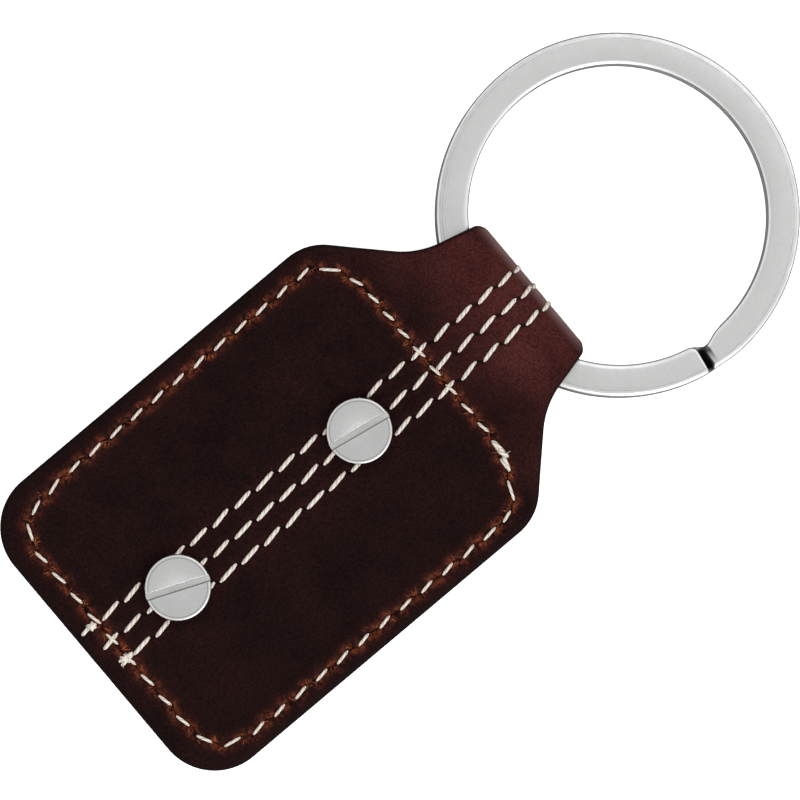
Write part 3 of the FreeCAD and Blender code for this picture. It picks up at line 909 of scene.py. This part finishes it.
# ---- metal -------------------------------------------------------------------------------------
def lathe(name, outline, centre, base, material, segments=128):
    """A turned piece from its (radius, z) outline, both ends of which are on the axis."""
    mesh = bmesh.new()
    rings = []
    for radius, z in outline:
        if radius < 1e-6:
            rings.append([mesh.verts.new((0, 0, z))] * segments)
            continue
        turn = [2 * math.pi * i / segments for i in range(segments)]
        rings.append([mesh.verts.new((radius * math.cos(a), radius * math.sin(a), z)) for a in turn])
    for low, high in zip(rings, rings[1:]):
        for i in range(segments):
            corners = [low[i], low[(i + 1) % segments], high[(i + 1) % segments], high[i]]
            face = list(dict.fromkeys(corners))
            if len(face) > 2:
                mesh.faces.new(face)
    bmesh.ops.recalc_face_normals(mesh, faces=mesh.faces)
    made = bpy.data.meshes.new(name)
    mesh.to_mesh(made)
    mesh.free()
    made.materials.append(material)
    made.transform(place_matrix(centre[0], centre[1], base))
    piece = bpy.data.objects.new(name, made)
    bpy.context.scene.collection.objects.link(piece)
    return piece


def place_matrix(x, y, z):
    move = Matrix.Translation((x * MM, (y + BOTTOM_EDGE) * MM, z * MM))
    return move @ Matrix.Scale(MM, 4)


def rounded_rim(radius, low, high, r, steps=6):
    """Outline points down round a rim from its top face."""
    turn = np.linspace(math.pi / 2, 0, steps)
    return [(radius - r + r * math.cos(a), high - r + r * math.sin(a)) for a in turn] + [(radius, low)]


HEAD_EDGE_ROUND = 0.24
SLOT_EDGE_ROUND = 0.05
POST_EDGE_ROUND = 0.25
BARREL_SHORT = 0.3           # the barrel stops this far under the front leaf's face
BORE_DEEPER = 0.6            # the bore goes on past the screw's end
BORE_PLAY = 0.04
RIM_SHADE_LINE = 2.84              # radius of the thin painted shade line inside a head's rim
RIM_SHADE_LINE_REACH = 0.05


def screw_piece(place, material):
    centre = SCREWS[place]
    line = [(RIM_SHADE_LINE - RIM_SHADE_LINE_REACH, SCREW_HEAD), (RIM_SHADE_LINE, SCREW_HEAD),
            (RIM_SHADE_LINE + RIM_SHADE_LINE_REACH, SCREW_HEAD)]
    rim = line + rounded_rim(HEAD_RADIUS, 0.0, SCREW_HEAD, HEAD_EDGE_ROUND)
    shank = BOARD_HIGH + LEATHER - BOARD_LOW
    outline = [(0, SCREW_HEAD)] + rim + [(SHANK_RADIUS, 0), (SHANK_RADIUS, -shank), (0, -shank)]
    piece = lathe(place + "_slotted_screw", outline, (0, 0), 0, material)
    piece.data.transform(place_matrix(0, 0, 0).inverted())
    box = bmesh.new()
    bmesh.ops.create_cube(box, size=1.0)
    turn = Matrix.Rotation(math.radians(SLOT_DIRECTIONS[place]), 4, "Z")
    size = Matrix.Diagonal((SLOT_WIDTH, 4 * HEAD_RADIUS, 2 * SLOT_DEPTH, 1))
    box.transform(Matrix.Translation((0, 0, SCREW_HEAD)) @ turn @ size)
    mesh = bpy.data.meshes.new("slot_cutter")
    box.to_mesh(mesh)
    box.free()
    cutter = bpy.data.objects.new("slot_cutter", mesh)
    bpy.context.scene.collection.objects.link(cutter)
    cut = piece.modifiers.new("slot", "BOOLEAN")
    cut.object = cutter
    cut.operation = "DIFFERENCE"
    cut.solver = "EXACT"
    bevel = piece.modifiers.new("soft_edges", "BEVEL")
    bevel.width = SLOT_EDGE_ROUND
    bevel.segments = 2
    bevel.limit_method = "ANGLE"
    bevel.angle_limit = math.radians(40)
    bpy.context.view_layer.update()
    finish_with_modifiers(piece)
    bpy.data.objects.remove(cutter)
    corners = np.array([vertex.co for vertex in piece.data.vertices])
    slot_turn = math.radians(SLOT_DIRECTIONS[place])
    sideways = corners[:, 0] * math.cos(slot_turn) + corners[:, 1] * math.sin(slot_turn)
    # where the painted shade line inside the head's rim lies
    from_shade_line = np.abs(np.hypot(corners[:, 0], corners[:, 1]) - RIM_SHADE_LINE)
    on_face = corners[:, 2] > SCREW_HEAD - 0.02
    store(piece, "rim_shade_line", np.clip(1 - from_shade_line / RIM_SHADE_LINE_REACH, 0, 1) * on_face)
    store(piece, "slot_across", sideways / (SLOT_WIDTH / 2))
    store(piece, "slot_depth", (SCREW_HEAD - corners[:, 2]) / SLOT_DEPTH * (corners[:, 2] > 0.3))
    piece.data.transform(place_matrix(centre[0], centre[1], FRONT_OUTSIDE))
    piece.data.shade_smooth()
    piece.data.set_sharp_from_angle(angle=math.radians(28))
    return piece


def post_piece(place, material):
    centre = SCREWS[place]
    barrel_top = FRONT_OUTSIDE - BARREL_SHORT
    bore_bottom = BOARD_LOW - BORE_DEEPER
    bore = SHANK_RADIUS + BORE_PLAY
    turn = np.linspace(0, math.pi / 2, 6)
    r = POST_EDGE_ROUND
    rim = [(HEAD_RADIUS - r + r * math.sin(a), r - r * math.cos(a)) for a in turn]
    outline = [(0, 0)] + rim + [(HEAD_RADIUS, POST_HEAD), (BARREL_RADIUS, POST_HEAD),
                                (BARREL_RADIUS, barrel_top), (bore, barrel_top),
                                (bore, bore_bottom), (0, bore_bottom)]
    piece = lathe(place + "_post", outline, centre, 0, material)
    piece.data.shade_smooth()
    piece.data.set_sharp_from_angle(angle=math.radians(28))
    return piece


# ---- the ring ----------------------------------------------------------------------------------
WIRE_ROUND_ACROSS = 0.55     # the wire's rounded edges, across the band and through its thickness
WIRE_ROUND_THROUGH = 0.34
DIP_INSIDE = -4.6            # where the dip starts on the ring's inner and outer edge, in degrees
DIP_OUTSIDE = -8.0
BAND_MIDDLE = 16.0           # radius from which along and across are measured
END_CORNER_DEGREES = 3.2     # length over which a cut end's inner corner is rounded off
END_CORNER_CUT = 0.55
END_EDGE_DEGREES = 0.6       # length over which a cut end's edges are rounded
END_EDGE_CUT = 0.12
PINCH_AT = -366.5            # where the wire is pinched narrower, beside its dip
PINCH_BEFORE = 4.6
PINCH_AFTER = 3.0
PINCH_INSIDE = 0.62
PINCH_OUTSIDE = 0.08


def wire_section():
    """The flat wire's section: for each point its corner, and where it lies about the corner's centre."""
    section = []
    for outer, upper, start in ((1, 1, 0), (0, 1, 90), (0, 0, 180), (1, 0, 270)):
        for degrees in np.linspace(start, start + 90, 6):
            turn = math.radians(degrees)
            across = WIRE_ROUND_ACROSS * math.cos(turn)
            through = WIRE_ROUND_THROUGH * math.sin(turn)
            section.append((outer, upper, across, through))
    return section


def wire_angles(stop):
    """Directions in degrees from the upper cut end, twice round, to the lower one at stop."""
    edge = np.array([0.0, 0.15, 0.35, END_EDGE_DEGREES])
    upper = np.concatenate([TOP_END - edge, np.arange(TOP_END - 1, TOP_END - 4.2, -0.25),
                            np.arange(TOP_END - 4.5, DIP_INSIDE + 0.6 - 360, -1.0)])
    dip = np.linspace(DIP_INSIDE + 0.5 - 360, JOG_END - 360, 40)
    lower = np.arange(JOG_END - 361, stop + 4.2, -1.0)
    end = np.concatenate([np.arange(stop + 4.0, stop + 0.8, -0.25), (stop + edge)[::-1]])
    angles = np.concatenate([upper, dip, lower, end])
    return sorted(set(np.round(angles, 4)), reverse=True)


def dip_share(radius, angle):
    """How far the wire has dipped at a point: it is creased on a slant, and a little roughly."""
    rough = 0.16 * math.sin(radius * 9.0) + 0.10 * math.sin(radius * 23.0 + 1.0)
    slant = (DIP_OUTSIDE - DIP_INSIDE) / BAND
    start = DIP_INSIDE + (radius - RING_OUTER_RADIUS + BAND) * slant + rough
    return min(1.0, max(0.0, (start - angle) / (start - JOG_END)))


def band_edges(angle, end_gaps):
    """The band's inner and outer radius, and how much its edges are cut back, at one direction."""
    inner = RING_OUTER_RADIUS - BAND
    outer = RING_OUTER_RADIUS
    cut = 0.0
    for gap in end_gaps:
        if gap < END_CORNER_DEGREES:
            corner = 1 - math.sqrt(1 - (1 - gap / END_CORNER_DEGREES) ** 2)
            inner = max(inner, RING_OUTER_RADIUS - BAND + END_CORNER_CUT * corner)
        if gap < END_EDGE_DEGREES:
            cut = END_EDGE_CUT * (1 - gap / END_EDGE_DEGREES) ** 2
    reach = PINCH_BEFORE if angle > PINCH_AT else PINCH_AFTER
    pinch = math.exp(-((angle - PINCH_AT) / reach) ** 2)
    return inner + PINCH_INSIDE * pinch, outer - PINCH_OUTSIDE * pinch, cut


def dip_shade_amount(share, angle, upper, through):
    """Painted shade in the dip: all over its upper face, and little on the wire's sides."""
    if share <= 0:
        return 0.0
    facing_up = max(0.0, through / WIRE_ROUND_THROUGH) if upper else 0.0
    amount = min(1, share * 14) * math.exp(-max(0, JOG_END - 362 - angle) / 2)
    return amount * (0.2 + 0.8 * facing_up ** 2)


def lay_down(points):
    """Ring points about its own centre, tilted as it rests, at its place in the loop, in metres."""
    reach = AXIS_TO_RING_CENTRE + RING_OUTER_RADIUS - WIRE_CHAMFER
    half_height = COIL + COIL_GAP / 2
    tilt = math.asin(LOOP_AXIS_Z / math.hypot(reach, half_height)) - math.atan2(half_height, reach)
    y = points[:, 1] + AXIS_TO_RING_CENTRE
    z = points[:, 2]
    turned_y = y * math.cos(tilt) + z * math.sin(tilt)
    turned_z = -y * math.sin(tilt) + z * math.cos(tilt)
    return np.stack([points[:, 0], turned_y + LOOP_AXIS_Y + BOTTOM_EDGE, turned_z + LOOP_AXIS_Z], 1) * MM


def ring_piece(material):
    section = wire_section()
    layer = (COIL + COIL_GAP) / 2
    stop = LOWER_END - 720
    angles = wire_angles(stop)
    points = []
    along = []
    across = []
    dip_shade = []
    for angle in angles:
        inner, outer, cut = band_edges(angle, (TOP_END - angle, angle - stop))
        half = COIL / 2 - WIRE_ROUND_THROUGH - cut
        turn = math.radians(angle)
        for at_outer, upper, dx, dz in section:
            radius = (outer - WIRE_ROUND_ACROSS - cut if at_outer else inner + WIRE_ROUND_ACROSS + cut) + dx
            share = dip_share(radius, angle + 360)
            eased = share * share * (3 - 2 * share)
            z = layer - 2 * layer * eased + (half if upper else -half) + dz
            points.append((radius * math.cos(turn), radius * math.sin(turn), z))
            along.append(-turn * BAND_MIDDLE * MM)
            across.append((radius - BAND_MIDDLE) * MM)
            dip_shade.append(dip_shade_amount(share, angle, upper, dz))
    count = len(section)
    last = (len(angles) - 1) * count
    faces = []
    for i in range(0, last, count):
        for j in range(count):
            after = (j + 1) % count
            faces.append((i + j, i + after, i + after + count, i + j + count))
    faces.append(tuple(range(count))[::-1])
    faces.append(tuple(range(last, last + count)))
    piece = mesh_object("two_turn_ring", lay_down(np.array(points)), faces, material)
    mesh = bmesh.new()
    mesh.from_mesh(piece.data)
    bmesh.ops.recalc_face_normals(mesh, faces=mesh.faces)
    mesh.to_mesh(piece.data)
    mesh.free()
    piece.data.set_sharp_from_angle(angle=math.radians(40))
    store(piece, "along", along)
    store(piece, "across", across)
    store(piece, "dip_shade", dip_shade)
    return piece


# ---- stage -------------------------------------------------------------------------------------
def make_floor(material):
    size = 1.5
    floor = mesh_object("floor", [(-size, -size, 0), (size, -size, 0), (size, size, 0), (-size, size, 0)],
                        [(0, 1, 2, 3)], material)


def make_world():
    """Bright all round, a little dimmer overhead, with a dark flag low on the -X side."""
    world = bpy.data.worlds.new("studio")
    bpy.context.scene.world = world
    world.use_nodes = True
    tree = world.node_tree
    direction = add(tree, "ShaderNodeTexCoord").outputs["Generated"]
    parts = add(tree, "ShaderNodeSeparateXYZ", {0: direction}).outputs
    overhead = ramp(tree, parts["Z"], 0.35, 0.95)
    brightness = calc(tree, "MULTIPLY_ADD", overhead, -0.85, 1.65)
    side = ramp(tree, parts["X"], -0.2, -0.6)
    low = ramp(tree, parts["Z"], 0.32, 0.12)
    flag = calc(tree, "MULTIPLY", side, low)
    brightness = calc(tree, "MULTIPLY", brightness, calc(tree, "MULTIPLY_ADD", flag, -0.93, 1.0))
    tree.nodes["Background"].inputs["Color"].default_value = (1.0, 1.0, 1.0, 1.0)
    tree.links.new(brightness, tree.nodes["Background"].inputs["Strength"])


def area_light(name, location, size, power, target):
    light = bpy.data.lights.new(name, "AREA")
    light.size = size
    light.energy = power
    lamp = bpy.data.objects.new(name, light)
    lamp.location = location
    lamp.rotation_euler = (Vector(target) - Vector(location)).to_track_quat("-Z", "Y").to_euler()
    bpy.context.scene.collection.objects.link(lamp)


CAMERA_HEIGHT = 0.75         # metres over the highest point
FACE_BELOW_TOP = 0.00385     # from the highest point down to the fob's face
LENS_PER_METRE = 134.0 / 0.28385


def make_camera():
    camera = bpy.data.cameras.new("camera")
    camera.lens = LENS_PER_METRE * (CAMERA_HEIGHT + FACE_BELOW_TOP)
    camera.sensor_width = 36.0
    camera.clip_start = 0.01
    body = bpy.data.objects.new("camera", camera)
    body.location = (0.00014, -0.0032, cad_high.z + CAMERA_HEIGHT)
    body.rotation_euler = (0, 0, math.radians(49.93))
    bpy.context.scene.collection.objects.link(body)
    bpy.context.scene.camera = body


# ---- the whole keychain ------------------------------------------------------------------------
leather = leather_piece(dark_leather())
thread = cream_thread("waxed_cream_thread", True)
inner_thread = cream_thread("waxed_cream_bobbin_thread", False)
screw_nickel = nickel("satin_nickel", (0.62, 0.62, 0.615, 1.0), False)
ring_nickel = nickel("brushed_nickel", (0.68, 0.68, 0.675, 1.0), True)
tree = stitch_tree()

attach(leather, "fob")
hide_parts("leather_strap")

board = frame["nodes"]["filler_board"]
board.data.materials.clear()
board.data.materials.append(board_material())

for name, stitches, node in (("front_edge_stitches", FRONT_SEAM, "edge_seam_needle_thread"),
                             ("back_edge_stitches", BACK_SEAM, "edge_seam_bobbin_thread")):
    piece = stitch_piece(name, stitches, SEAM_THREAD, tree, thread, crown=SEAM_CROWN)
    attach(piece, "fob")
    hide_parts(node)
for place, stitches in zip(("left", "centre", "right"), ROWS):
    piece = stitch_piece(place + "_row_stitches", stitches, ROW_THREAD, tree, thread, crown=ROW_CROWN)
    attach(piece, "fob")
    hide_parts(place + "_row_needle_thread")
    bobbin = frame["nodes"][place + "_row_bobbin_thread"]
    bobbin.data.materials.clear()
    bobbin.data.materials.append(inner_thread)

ends = stitch_piece("thread_ends", thread_ends(), 0.38, tree, thread, crown=0.16)
frays = stitch_piece("thread_frays", thread_frays(), 0.07, tree, thread, crown=0.2, dive=0.15,
                     points_along=6, sides=5)
fibres = stitch_piece("seam_fibres", seam_fibres(), 0.05, tree, leather_fibre(), crown=0.06, dive=0.08,
                      points_along=5, sides=4)
for piece, slot in ((ends, "cream_thread"), (frays, "cream_thread"), (fibres, "dark_leather")):
    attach(piece, "fob")

for place in SCREWS:
    screw = screw_piece(place, screw_nickel)
    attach(screw, "fob")
    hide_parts(place + "_screw")
    post = post_piece(place, screw_nickel)
    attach(post, "fob")
    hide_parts(place + "_screw_post")

ring = ring_piece(ring_nickel)
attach(ring, "ring")
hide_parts("split_ring")

make_floor(floor_material())
make_world()
area_light("key", (0.35, -0.05, 0.30), 0.25, 0.9, (0, 0, 0))
area_light("fill", (-0.1, 0.4, 0.4), 0.4, 0.3, (0, 0, 0))
make_camera()
bpy.context.scene.view_settings.view_transform = "Standard"
